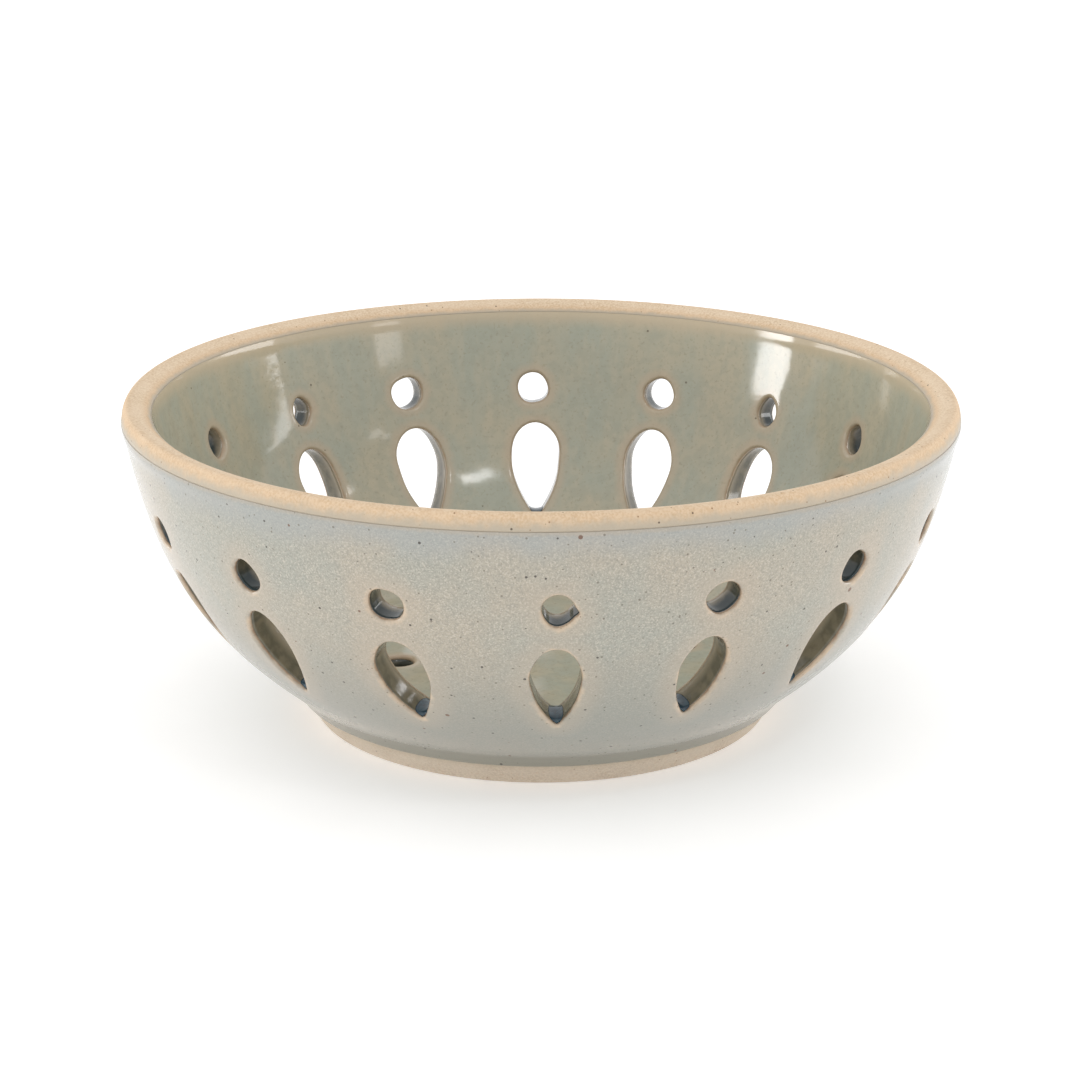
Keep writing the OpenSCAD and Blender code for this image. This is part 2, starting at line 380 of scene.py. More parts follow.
wave = draw.uniform(0, TURN, (pair_count, 2, 3))
knife_wave = 0.05
notch = np.zeros(pair_count)
notch[0] = 0.45
notch_angle, notch_width = -0.15, 0.2
quarter = 60
tip_points = 41
blunt = 0.45


def knife_waves(pair, hole, angle):
    """The knife's faint unevenness round a hole: waves of two, three and four to the turn."""
    return sum(knife_wave * np.cos((n + 2) * angle + wave[pair, hole, n]) for n in range(3))


def round_outline(pair):
    """A round hole's outline, x down and y across, as a closed run of points from its +y side
    over the top: an ellipse with faint knife waves, and a nick at one side where notch says.
    With it, the places in the run where its quarters begin."""
    angle = np.linspace(0, TURN, 4 * quarter + 1)
    wide, high, across, down = cut[pair, 4:8] / [2, 2, 1, 1]
    wobble = knife_waves(pair, 0, angle)
    off_notch = ((angle - notch_angle + np.pi) % TURN - np.pi) / notch_width
    nick = notch[pair] * np.exp(-(off_notch**2))
    x = -(high + wobble + nick) * np.sin(angle) + down
    y = (wide + wobble + nick) * np.cos(angle) + across
    return np.stack([x, y], -1), [n * quarter for n in range(5)]


def leaf_outline(pair):
    """A leaf hole's outline: half an ellipse over two parabolas, drawn small by blunt and then
    grown by that much, which blunts the point, with a lean, a shift and faint knife waves. With
    it, the places in the run where its quarters begin."""
    half, lean, across, down = cut[pair, 0:4] / [2, 1, 1, 1]
    arch = np.linspace(0, np.pi, 2 * quarter + 1)
    top = np.stack([-(leaf_top - blunt) * np.sin(arch), (half - blunt) * np.cos(arch)], -1)
    share = np.linspace(0, 1, 2 * quarter + 1)[1:, None]
    length = leaf_bottom - blunt
    side = np.concatenate([length * share, -(half - blunt) * (1 - share**2)], 1)
    tip_turn = np.arctan2(length, 2 * (half - blunt))
    fan = np.linspace(-tip_turn, tip_turn, tip_points)
    tip = np.stack([np.cos(fan), np.sin(fan)], -1) * blunt + [length, 0]
    loop = np.concatenate([top, side])
    move = np.gradient(loop, axis=0)
    out = np.stack([-move[:, 1], move[:, 0]], -1)
    out = -out / np.linalg.norm(out, axis=1, keepdims=True)
    body = loop + blunt * out
    lower = body[len(top):-1]
    mirrored = (lower * [1, -1])[::-1]
    points = np.concatenate([body[:len(top)], lower, tip, mirrored, body[:1]])
    tip_mark = 2 * quarter + len(lower) + tip_points // 2 + 1
    x, y = points[:, 0], points[:, 1]
    angle = np.arctan2(-x, y)
    y = y + lean * np.clip(x / leaf_bottom, 0, 2) ** 2 + across
    points = np.stack([x + down, y + knife_waves(pair, 1, angle) * np.cos(angle)], -1)
    return points, [0, quarter, 2 * quarter, tip_mark, len(points) - 1]


def ring_of(outline, counts, tip_pull):
    """Points round an outline, so many in each quarter, evenly along it but drawn closer
    towards the tip; with them their outward directions."""
    points, marks = outline
    run = along(points)
    stops = []
    for quarter_number, count in enumerate(counts):
        share = np.arange(count) / count
        if quarter_number == 2:
            share = 1 - (1 - share) ** tip_pull
        if quarter_number == 3:
            share = share**tip_pull
        start, end = run[marks[quarter_number]], run[marks[quarter_number + 1]]
        stops.append(start + share * (end - start))
    stops = np.concatenate(stops)
    ring = np.stack([np.interp(stops, run, points[:, i]) for i in (0, 1)], -1)
    move = np.roll(ring, -1, 0) - np.roll(ring, 1, 0)
    out = np.stack([move[:, 1], -move[:, 0]], -1)
    out = out / np.linalg.norm(out, axis=1, keepdims=True)
    out *= np.sign(np.sum(out * (ring - ring.mean(0)), 1).mean())
    return ring, out


side_up, side_down, round_side = 8, 14, 6
leaf_tip_pull, even_pull = 1.5, 1.0
half_columns = columns_per_pair // 2
leaf_counts = [side_up + half_columns] * 2 + [side_down + half_columns] * 2
round_counts = [round_side + half_columns] * 4
leaf_rings = [ring_of(leaf_outline(k), leaf_counts, leaf_tip_pull) for k in range(pair_count)]
round_rings = [ring_of(round_outline(k), round_counts, even_pull) for k in range(pair_count)]
holes = {"leaf": (leaf_z, *np.stack(leaf_rings, 1)), "round": (round_z, *np.stack(round_rings, 1))}
probe = np.linspace(0, 1, 2001)
probe_face = below(probe, 0)
newton_rounds, newton_step = 14, 1e-5


def strike(z0, outline, depth):
    """Azimuth from the pair's heading, and t, of points of a hole's outline where they stand at a
    depth: Newton's method on where lines along the hole's sloping axis meet that layer. went is
    how far out along its line each point is, and by_went and by_t are the slopes of the miss."""
    x, y = np.moveaxis(outline, -1, 0)
    start_r = np.interp(z0, probe_face[:, 1], probe_face[:, 0])
    t = np.full(x.shape, np.interp(z0, probe_face[:, 1], probe))
    went = np.full(x.shape, -float(depth))
    cos, sin = np.cos(hole_tilt), np.sin(hole_tilt)
    for _ in range(newton_rounds):
        here = below(t, depth)
        rise = (below(t + newton_step, depth) - here) / newton_step
        reach = start_r + went * cos - x * sin
        radius = np.hypot(reach, y)
        miss_r = radius - here[..., 0]
        miss_z = z0 - went * sin - x * cos - here[..., 1]
        r_by_went, r_by_t = reach / radius * cos, -rise[..., 0]
        z_by_went, z_by_t = -sin, -rise[..., 1]
        spread = r_by_went * z_by_t - r_by_t * z_by_went
        went = went + (r_by_t * miss_z - z_by_t * miss_r) / spread
        t = t + (z_by_went * miss_r - r_by_went * miss_z) / spread
    return np.arctan2(y, reach), t


def pierce(kind, grow, depth):
    """Azimuth and t of a kind of hole's ring, grown by grow, at a depth."""
    z0, ring, out = holes[kind]
    return strike(z0, ring + grow * out, depth)


def at(theta, t, depth):
    """Points in space for every pair: theta is measured from the pair's heading."""
    heading = heading_of_pair.reshape((-1,) + (1,) * (np.ndim(theta) - 1))
    return around(theta + heading, below(t, depth))


def cell_border(turn, across, low, mid, high, up, down):
    """The border of a hole's cell, turn wide to each side and from low to high: points from the
    middle of its right side over the top and round, in the order of the hole's own ring."""
    stretches = [
        ((turn, mid), (turn, high), up),
        ((turn, high), (-turn, high), across),
        ((-turn, high), (-turn, mid), up),
        ((-turn, mid), (-turn, low), down),
        ((-turn, low), (turn, low), across),
        ((turn, low), (turn, mid), down),
    ]
    return np.concatenate([straight(start, end, steps)[:-1] for start, end, steps in stretches])


def closed(grid):
    """A grid whose last column joins its first."""
    return np.concatenate([grid, grid[..., :1]], -1)


low_share, high_gap = 0.62, 0.07
top_crowding, base_crowding = 1.9, 1.6


def sheet(depth, rings=9, pull=1.3, top_rows=16, base_rows=5, t_base=0.0):
    """The grids of a pierced layer of the wall at one depth, in azimuth and t: for each hole,
    rings that spread from its outline to its cell's border, then plain bands above and below,
    whose rows crowd towards the lip and the foot."""
    spots = {kind: pierce(kind, edge_round, depth) for kind in holes}
    split = (spots["leaf"][1].max() + spots["round"][1].min()) / 2
    low = spots["leaf"][1].min() * low_share
    high = spots["round"][1].max() + high_gap
    blend = ((pull ** np.arange(rings + 1) - 1) / (pull**rings - 1))[None, :, None]
    grids = []
    for kind, t_low, t_high, up, down in (
        ("leaf", low, split, side_up, side_down),
        ("round", split, high, round_side, round_side),
    ):
        mid = np.median(spots[kind][1][:, 0])
        border = cell_border(half_turn, columns_per_pair, t_low, mid, t_high, up, down)
        theta, t = (closed(v) for v in spots[kind])
        edge_theta, edge_t = (closed(v) for v in border.T)
        grids.append((
            (1 - blend) * theta[:, None, :] + blend * edge_theta,
            (1 - blend) * t[:, None, :] + blend * edge_t,
        ))
    top_share, base_share = np.linspace(0, 1, top_rows + 1), np.linspace(0, 1, base_rows + 1)
    over = 1 - (1 - high) * (1 - top_share) ** top_crowding
    under = t_base + (low - t_base) * base_share**base_crowding
    for t in (over, under):
        flat = np.broadcast_arrays(cell_turn[None, None, :], t[None, :, None])
        grids.append(tuple(np.repeat(v, pair_count, 0) for v in flat))
    return grids


def edge_band(t, depths):
    """The narrow band that closes a layer along its upper or lower edge: t through some depths."""
    profile = below(np.full((len(depths), 1), t), depths[:, None])
    return around(cell_turn + heading_of_pair[:, None, None], profile)


def channel(kind, path):
    """The grid through a hole along a path of (grow, depth) pairs, for every pair of holes."""
    rows = []
    for grow, depth in path:
        theta, t = pierce(kind, grow, depth)
        rows.append(at(closed(theta), closed(t), depth))
    return np.stack(rows, 1)


def fillet(radius, start_depth, way):
    """The (grow, depth) path of a hole's rounded edge from the face into the hole: a quarter
    circle. way is 1 from the outer face inwards and -1 from the inner face outwards."""
    angle = np.linspace(0, np.pi / 2, fillet_steps + 1)
    grow = edge_round - radius * np.sin(angle)
    depth = start_depth + way * (edge_round - radius * np.cos(angle))
    return list(zip(grow, depth))


outer_start = fillet(edge_round, 0.0, 1)
outer_back = fillet(edge_round - glaze_t, 0.0, 1)
inner_start = fillet(edge_round, wall_t, -1)
inner_back = fillet(edge_round - glaze_t, wall_t, -1)
coarse = {"rings": 5, "pull": 1.6, "top_rows": 5}
wall_patches = []
for depth in (glaze_t, wall_t - glaze_t):
    wall_patches += [at(theta, t, depth) for theta, t in sheet(depth, **coarse)]
wall_patches += [channel(kind, outer_back + inner_back[::-1]) for kind in holes]
wall_patches += [edge_band(t, np.linspace(glaze_t, wall_t - glaze_t, 3)) for t in (0, 1)]
hidden_clay = bare_clay(
    "hidden_clay", tone(219, 195, 166), tone(211, 186, 155), tone(229, 209, 183),
    tone(196, 172, 142), tone(172, 165, 148), 0.1,
)
make_piece(
    "pierced_clay_wall", [(grid, {"glaze_line": far_from_glaze}) for grid in wall_patches],
    "wall", hidden_clay,
)


# Outer glaze: the satin grey-beige coat outside, poured on and fired until it fused. It breaks
# thin and peach-coloured on every hole's edge, with a painted highlight along that edge, pools
# cooler and thicker under the lip, and gathers in a roll at the crease. Its colour is painted
# darker towards the foot, partly cooler glaze and partly painted shade, and darker still at the
# crease and the skirt with painted shade. It shows the clay's iron specks and runs a little way
# down over the foot.
def hole_edges(depth):
    """The rings at a depth that a glaze's distance to the holes is measured from."""
    rings = []
    for kind in holes:
        theta, t = pierce(kind, 0.0, depth)
        rings.append(at(theta, t, depth))
    return np.concatenate(rings, 1)


def reach_to(points, rings):
    """For each pair, the distance from each point to the nearest point of the pair's rings."""
    nearest = [
        np.linalg.norm(own[:, None] - ring[None], axis=-1).min(1)
        for own, ring in zip(points.reshape(pair_count, -1, 3), rings)
    ]
    return np.stack(nearest).reshape(points.shape[:-1])


def with_reach(grids, rings):
    """Each grid with the distance of its points to the holes' edges."""
    return [(grid, {"hole_edge": reach_to(grid, rings)}) for grid in grids]


lip_bead, foot_bead, bead_width = 0.17, 0.16, 0.014


def roll(t, peak, proud):
    """A roll of gathered glaze: a bell curve of t round its peak, so many millimetres proud."""
    return proud * np.exp(-(((t - peak) / bead_width) ** 2))


def outer_depth(t):
    """The outer face, with rolls of glaze along the wiped lip and the crease over the foot."""
    return -(roll(t, 1 - bead_width, lip_bead) + roll(t, foot_join, foot_bead))


outer_grids = [
    at(theta, t, outer_depth(t)) for theta, t in sheet(0.0, base_rows=10, t_base=foot_join)
]
outer_grids += [
    at(theta, t, glaze_t) for theta, t in sheet(glaze_t, t_base=foot_join, **coarse)
]
outer_grids += [channel(kind, outer_start + outer_back[::-1]) for kind in holes]
outer_grids.append(edge_band(1.0, np.linspace(outer_depth(1.0), glaze_t, 4)))

# The skirt over the foot: a thin coat with a round lower edge that swells into the crease's roll.
skirt_thin, skirt_edge, skirt_swell = 0.20, 0.10, 0.12
skirt_edge_share = 0.14
skirt_run = np.linspace(0, 1, 15)
skirt_t = skirt_thin + skirt_edge * np.exp(-((skirt_run / skirt_edge_share) ** 2))
skirt_t += skirt_swell * skirt_run**8
skirt_t *= np.sqrt(1 - (1 - np.minimum(skirt_run / skirt_edge_share, 1)) ** 2)
skirt_end = np.array([skirt_r, skirt_z])
foot_side = (foot_top - [foot_r, foot_round]) / np.linalg.norm(foot_top - [foot_r, foot_round])
foot_out = np.array([foot_side[1], -foot_side[0]])
roll_end = below(foot_join, outer_depth(foot_join))
skirt_face = skirt_end + skirt_run[:, None] * (foot_top - skirt_end) + skirt_t[:, None] * foot_out
skirt_face += (skirt_run[:, None] ** 12) * (roll_end - skirt_face[-1])
skirt = np.concatenate([straight(foot_top, skirt_end, 4), skirt_face[1:]])
outer_grids.append(around(cell_turn + heading_of_pair[:, None, None], skirt[:, None]))

# The glaze's colour: clouds of two tones with a fine grain, then cooler under the lip; darker
# towards the foot, partly cooler glaze and partly painted shade, and darker still at the crease
# and the skirt with painted shade; then each hole's halo with a painted highlight on its edge,
# the line under the wiped lip, and specks in three sizes.
satin = Finish("outer_glaze_satin")
reach = satin.attribute("hole_edge")
level = satin.height()
drift = satin.noise(16.0, 3, satin.drawn_out(0.6))
patch = satin.noise(6.5, 4)
mottle = satin.noise(1.1, 3)
warm, cool = tone(174, 165, 149), tone(162, 162, 151)
glaze = satin.mix(satin.ease(drift * 0.65 + patch * 0.35, 0.38, 0.62), warm, cool)
glaze = satin.mix(satin.ease(mottle, 0.35, 0.7) * 0.15, glaze, tone(178, 167, 151))
glaze = satin.mix(satin.ease(satin.noise(0.34, 3), 0.58, 0.36) * 0.5, glaze, tone(138, 138, 128))
glaze = satin.mix(satin.ease(satin.noise(0.24, 2), 0.50, 0.70) * 0.6, glaze, tone(206, 196, 181))
under_lip = satin.ease(level + (drift - 0.5) * 9, 42.0, 46.5)
# Painted shade: darker towards the foot, partly cooler glaze and partly painted shade.
lower_wall_shade = satin.ease(level + (patch - 0.5) * 4, 32.0, 12.0)
glaze = satin.mix(under_lip * 0.5, glaze, tone(155, 160, 161))
glaze = satin.mix(lower_wall_shade * 0.7, glaze, tone(140, 141, 133))
# Painted shade: below the crease, on its roll, the skirt and the underside coat, as under an overhang.
glaze = satin.mix(satin.ease(level, 6.8, 5.6) * 0.8, glaze, tone(134, 131, 118))
halo = reach + (mottle - 0.5) * 0.8
edge_wear_and_sheen = satin.ease(satin.noise(3.2, 2), 0.36, 0.64)
glaze = satin.mix(satin.ease(halo, 4.5, 0.8) * 0.35, glaze, tone(186, 169, 149))
# Partly painted highlight: the pale line on each hole's rounded edge is thin glaze and a painted edge
# highlight.
glaze = satin.mix(satin.ease(halo, 1.1, 0.4) * edge_wear_and_sheen * 0.65, glaze, tone(216, 190, 160))
glaze = satin.mix(satin.ease(halo, 0.5, 0.1) * (1 - edge_wear_and_sheen * 0.6) * 0.7, glaze, tone(152, 114, 80))
lip_near = (bowl_h - lip_h) - level + (mottle - 0.5) * 0.8
glaze = satin.mix(satin.ease(lip_near, 0.75, 0.15) * 0.3, glaze, tone(182, 160, 132))
glaze = satin.mix(satin.specks(0.8, 0.20, 0.30) * 0.65, glaze, tone(98, 90, 76))
glaze = satin.mix(satin.specks(1.4, 0.27, 0.24) * 0.85, glaze, tone(58, 52, 46))
glaze = satin.mix(satin.specks(3.0, 0.42, 0.22) * 0.85, glaze, tone(104, 66, 42))
bumps = satin.noise(0.55, 2) * 0.5 + satin.noise(2.4, 2) * 0.7
outer_satin = satin.close(
    {"Base Color": glaze, "Roughness": satin.ease(mottle, 0.3, 0.7, 0.14, 0.22), "IOR": 1.6},
    {"Strength": 0.25, "Distance": 0.05 * MM, "Height": bumps},
)
make_piece(
    "speckled_outer_glaze", with_reach(outer_grids, hole_edges(edge_round)),
    "outer_glaze", outer_satin,
)


# Inner glaze: the glossier, greener coat inside, from the wiped lip down over the wall and the
# floor. It ran a little in the kiln, which left upright streaks, and thinned at every hole.
floor_t, floor_round = 5.0, 7.4
drain_r, drain_round = 2.2, 0.6
drain_ring_r, drain_count, drain_turn = 22.4, 6, np.radians(7.5)
plain_r, drained_r = 12.5, 28.0
drain_side, drain_steps = 4, 5
hollow_steps = 10
disc_pull = 1.35
fade_width = 2.5
inner_bead = 0.04
arc_centre = below(0, wall_t) + floor_round * np.array([-np.sin(spring_angle), np.cos(spring_angle)])
floor_top = arc_centre[1] - floor_round
recess_top = floor_top - floor_t
drain_columns = columns // drain_count
drain_cell = np.pi / drain_count
drain_turns = drain_turn + np.arange(drain_count) * 2 * drain_cell
drain_spots = drain_ring_r * np.stack([np.cos(drain_turns), np.sin(drain_turns)], -1)

# The border of a drain's cell, which is a sector of the floor between two radii, as x and y, and
# the direction of each of its points from the drain's middle.
sector = cell_border(
    drain_cell, drain_columns, plain_r, drain_ring_r, drained_r, drain_side, drain_side
)
drain_border = sector[:, 1:] * np.stack([np.cos(sector[:, 0]), np.sin(sector[:, 0])], -1)
compass_angle = np.unwrap(np.arctan2(drain_border[:, 1], drain_border[:, 0] - drain_ring_r))
compass = np.stack([np.cos(compass_angle), np.sin(compass_angle)], -1)


def drained_disc(z, outer_r, path, rings=8):
    """A flat round layer with a ring of drains: for each drain, rings spread from its edge to its
    cell's border. path gives the (grow, rise) rows that go on from each drain's edge into the
    drain, and may be empty."""
    start = np.array([drain_ring_r, 0])
    spread = ((disc_pull ** np.arange(rings + 1) - 1) / (disc_pull**rings - 1))[:, None, None]
    edge = start + (drain_r + drain_round) * compass
    layers = [((1 - spread) * edge + spread * drain_border, np.full(rings + 1, z))]
    if path:
        through = np.array([start + (drain_r + grow) * compass for grow, _ in path])
        layers.append((through, np.array([z + rise for _, rise in path])))
    cos, sin = np.cos(drain_turns)[:, None, None], np.sin(drain_turns)[:, None, None]
    grids = []
    for flat, heights in layers:
        x, y = closed(np.moveaxis(flat, -1, 0))
        up = np.broadcast_to(heights[:, None], (drain_count,) + x.shape)
        grids.append(np.stack([x * cos - y * sin, x * sin + y * cos, up], -1))
    theta = drain_turn + drain_cell + np.linspace(0, TURN, columns + 1)
    for start_r, end_r, steps in ((0, plain_r, 6), (drained_r, outer_r, 2)):
        grids.append(around(theta[None], straight([start_r, z], [end_r, z], steps)[:, None]))
    return grids


def drain_path(radius):
    """The (grow, rise) path of a drain's rounded edge: a quarter circle down into the floor."""
    angle = np.linspace(0, np.pi / 2, drain_steps + 1)
    return list(zip(drain_round - radius * np.sin(angle), radius * np.cos(angle) - drain_round))


def hollow(depth):
    """The curve between the floor and the wall: an arc from the floor's edge up to the wall."""
    angle = np.linspace(0, spring_angle, hollow_steps + 1)
    return arc_centre + (floor_round + depth) * np.stack([np.sin(angle), -np.cos(angle)], -1)


def drain_reach(points):
    """The distance from each point, seen from above, to the nearest drain's wall."""
    flat = np.linalg.norm(points[..., None, :2] - drain_spots, axis=-1).min(-1)
    return np.maximum(flat - drain_r, 0)


def run_of_glaze(theta, t):
    """The inner face's gentle unevenness where the glaze ran: long low waves, up to 0.065 mm."""
    theta = theta + heading_of_pair.reshape((-1,) + (1,) * (np.ndim(theta) - 1))
    broad = np.sin(9 * theta + 2.1 * np.sin(5 * t + 0.7)) * np.sin(7 * t + 1.3 * np.cos(3 * theta))
    close = np.sin(17 * theta + 4 * t) * np.cos(13 * t - 2 * np.cos(4 * theta))
    return (0.045 * broad + 0.02 * close) * np.sin(np.pi * np.clip(t, 0, 1))


inner_rings = hole_edges(wall_t - edge_round)


def uneven_face(theta, t):
    """The inner face with a roll of glaze along the wiped lip, and with its unevenness, which
    fades out towards the holes' rounded edges."""
    room = (reach_to(at(theta, t, wall_t), inner_rings) - 2 * edge_round) / fade_width
    room = np.clip(room, 0, 1)
    uneven = run_of_glaze(theta, t) * room * room * (3 - 2 * room)
    return at(theta, t, wall_t + uneven + roll(t, 1 - bead_width, inner_bead))


wall_grids = [uneven_face(theta, t) for theta, t in sheet(wall_t)]
wall_grids += [
    at(theta, t, wall_t - glaze_t) for theta, t in sheet(wall_t - glaze_t, **coarse)
]
wall_grids += [channel(kind, inner_start + inner_back[::-1]) for kind in holes]
bead_top = wall_t + roll(1.0, 1 - bead_width, inner_bead)
wall_grids.append(edge_band(1.0, np.linspace(wall_t - glaze_t, bead_top, 3)))
through_face = drain_path(drain_round) + drain_path(drain_round - glaze_t)[::-1]
circle = np.linspace(0, TURN, columns + 1)[None]
floor_grids = drained_disc(floor_top, arc_centre[0], through_face)
floor_grids += drained_disc(floor_top - glaze_t, arc_centre[0], [], rings=4)
floor_grids += [around(circle, hollow(depth)[:, None]) for depth in (0.0, glaze_t)]
inner_patches = with_reach(wall_grids, inner_rings)
inner_patches += [(grid, {"hole_edge": drain_reach(grid)}) for grid in floor_grids]

# The glaze's colour: clouds of two tones with upright streaks and a fine grain, then each hole's
# halo, the paler band where it thins under the lip, and a few specks.
gloss = Finish("inner_glaze_gloss")
reach = gloss.attribute("hole_edge")
level = gloss.height()
streak = gloss.noise(7.0, 3, gloss.drawn_out(0.16))
thin_streak = gloss.noise(2.2, 3, gloss.drawn_out(0.12))
drift = gloss.noise(13.0, 3)
grain = gloss.noise(0.5, 3)
warm, cool = tone(184, 176, 153), tone(171, 173, 157)
glaze = gloss.mix(gloss.ease(streak * 0.6 + drift * 0.4, 0.38, 0.62), warm, cool)
glaze = gloss.mix(gloss.ease(thin_streak, 0.50, 0.68) * 0.3, glaze, tone(192, 182, 158))
glaze = gloss.mix(gloss.ease(grain, 0.55, 0.72) * 0.4, glaze, tone(148, 141, 120))
glaze = gloss.mix(gloss.ease(gloss.noise(1.4, 3), 0.58, 0.36) * 0.3, glaze, tone(158, 158, 142))
halo = reach + (gloss.noise(1.6, 2) - 0.5) * 0.8
glaze = gloss.mix(gloss.ease(halo, 2.3, 0.7) * 0.55, glaze, tone(196, 174, 148))
glaze = gloss.mix(gloss.ease(halo, 0.7, 0.2) * 0.45, glaze, tone(174, 140, 108))
lip_near = inner_base[1] - level + (drift - 0.5) * 1.2
glaze = gloss.mix(gloss.ease(lip_near, 3.2, 0.2) * 0.8, glaze, tone(206, 188, 160))
glaze = gloss.mix(gloss.specks(2.2, 0.28, 0.14) * 0.7, glaze, tone(90, 78, 58))
bumps = gloss.noise(3.2, 2) * 0.8 + gloss.noise(1.1, 2) * 0.2
inner_gloss = gloss.close(
    {"Base Color": glaze, "Roughness": gloss.ease(streak, 0.3, 0.7, 0.07, 0.12), "IOR": 1.55},
    {"Strength": 0.3, "Distance": 0.06 * MM, "Height": bumps},
)
make_piece("glossy_inner_glaze", inner_patches, "inner_glaze", inner_gloss)


# Underside glaze: a thin coat on the ceiling of the recess in the foot, brushed on so that
# drips run off; it stops at the bare foot ring and is pierced by the same drains as the floor.
under_face = [(grow, -rise) for grow, rise in through_face]
under_grids = drained_disc(recess_top, foot_in_r, under_face)
under_grids += drained_disc(recess_top + glaze_t, foot_in_r, [], rings=4)
under_edge = np.array([[foot_in_r, recess_top], [foot_in_r, recess_top + glaze_t]])
under_grids.append(around(circle, under_edge[:, None]))
make_piece(
    "underside_glaze_coat", [(grid, {"hole_edge": drain_reach(grid)}) for grid in under_grids],
    "underside_glaze", outer_satin,
)


# Hole linings: the glaze that ran through the holes coats their walls thickly, so it fired dark
# olive, and it settled blue-green at the bottom of each round hole and in each leaf's point.
deep = np.linspace(edge_round, wall_t - edge_round, 7)
bore = [(0.0, depth) for depth in deep] + [(glaze_t, depth) for depth in deep[::-1]]
bore += bore[:1]


def lining(kind):
    """A lining: a closed skin from the rounded edge outside to the one inside and back, with how
    low in its hole each point lies, from -1 at the top to 1, and its share of the way inwards."""
    _, ring, _ = holes[kind]
    x = closed(ring[..., 0])
    low = (x - x.mean(1, keepdims=True)) / np.abs(x).max(1, keepdims=True)
    grid = channel(kind, bore)
    inward = np.array([depth for _, depth in bore]) / wall_t
    values = {"low_in_hole": low[:, None], "way_in": inward[None, :, None]}
    return grid, {key: np.broadcast_to(value, grid.shape[:-1]) for key, value in values.items()}


def lining_finish(name, wall_tone, dark_tone, pool_tone, pool_from, pool_to):
    """Dark, thick, glossy glaze: mottled olive on a hole's walls, pooled colour at its foot, and
    thinning into the inner glaze's own colour at its inner end."""
    thick = Finish(name)
    cloud = thick.noise(1.7, 3)
    low = thick.attribute("low_in_hole") + (cloud - 0.5) * 0.25
    way_in = thick.attribute("way_in") + (cloud - 0.5) * 0.25
    glaze = thick.mix(thick.ease(cloud, 0.35, 0.65), wall_tone, dark_tone)
    glaze = thick.mix(thick.ease(low, pool_from, pool_to) * 0.9, glaze, pool_tone)
    glaze = thick.mix(thick.ease(way_in, 0.5, 0.85) * 0.85, glaze, tone(166, 154, 132))
    return thick.close(
        {"Base Color": glaze, "Roughness": thick.ease(cloud, 0.3, 0.7, 0.08, 0.16), "IOR": 1.53},
        {"Strength": 0.2, "Distance": 0.05 * MM, "Height": thick.noise(0.9, 2)},
    )


round_lining = lining_finish(
    "round_hole_lining", tone(98, 92, 74), tone(68, 68, 58), tone(42, 58, 62), -0.2, 0.6
)
leaf_lining = lining_finish(
    "leaf_hole_lining", tone(118, 110, 90), tone(94, 90, 74), tone(50, 72, 82), 0.62, 1.0
)
make_piece("round_hole_linings", [lining("round")], "round_hole_glaze", round_lining)
make_piece("leaf_hole_linings", [lining("leaf")], "leaf_hole_glaze", leaf_lining)


# Leaf tip pools: thick blue-green glaze that gathered in the point of each leaf hole, with a
# hollow glassy surface that meets the walls and runs out at the hole's rounded edges.
pool_inset, pool_height, pool_sag = 0.3, 1.3, 0.3
pool_reach = 12
bed_points, surface_steps, pool_rows = 12, 12, 17
tip_index = 2 * (side_up + half_columns) + side_down + half_columns


def pool_section(pair, grow, size):
    """One section across a pair's pool, in the outline's plane: round the leaf's point on the
    lining, up to the pool's height on both sides, and back over a hollow surface."""
    _, ring, out = holes["leaf"]
    window = np.arange(tip_index - pool_reach, tip_index + pool_reach + 1)
    bed = ring[pair, window] + grow * out[pair, window]
    rise = bed[pool_reach, 0] - bed[:, 0]
    steps = np.arange(pool_reach + 1)
    left = np.interp(pool_height * size, rise[pool_reach::-1], steps)
    right = np.interp(pool_height * size, rise[pool_reach:], steps)
    stops = np.r_[np.linspace(-left, 0, bed_points), np.linspace(0, right, bed_points)[1:]]
    stops = pool_reach + stops
    lower = np.stack([np.interp(stops, np.arange(len(window)), bed[:, i]) for i in (0, 1)], -1)
    share = np.linspace(0, 1, surface_steps + 1)[1:, None]
    upper = lower[-1] * (1 - share) + lower[0] * share
    upper[:, :1] += pool_sag * size * 4 * share * (1 - share)
    return np.concatenate([lower, upper])


def pool_row(share):
    """All the pools' sections a share of the way through the wall, full in mid-channel."""
    depth = pool_inset + share * (wall_t - 2 * pool_inset)
    inward = max(edge_round - min(depth, wall_t - depth), 0)
    grow = edge_round - np.sqrt(edge_round**2 - inward**2)
    size = np.sqrt(1 - abs(2 * share - 1) ** 3)
    loops = np.stack([pool_section(pair, grow, size) for pair in range(pair_count)])
    return at(*strike(leaf_z, loops, depth), depth)


pool_grid = np.stack([pool_row(share) for share in np.linspace(0, 1, pool_rows)], 1)
pooled = Finish("pooled_blue_glaze")
cloud = pooled.noise(0.8, 3)
glaze = pooled.mix(pooled.ease(cloud, 0.3, 0.7), tone(20, 44, 58), tone(40, 68, 80))
pool_glass = pooled.close(
    {"Base Color": glaze, "Roughness": pooled.ease(cloud, 0.3, 0.7, 0.04, 0.08), "IOR": 1.53},
    {"Strength": 0.05, "Distance": 0.02 * MM, "Height": cloud},
)
make_piece("leaf_tip_pools", [(pool_grid, {})], "leaf_tip_beads", pool_glass)


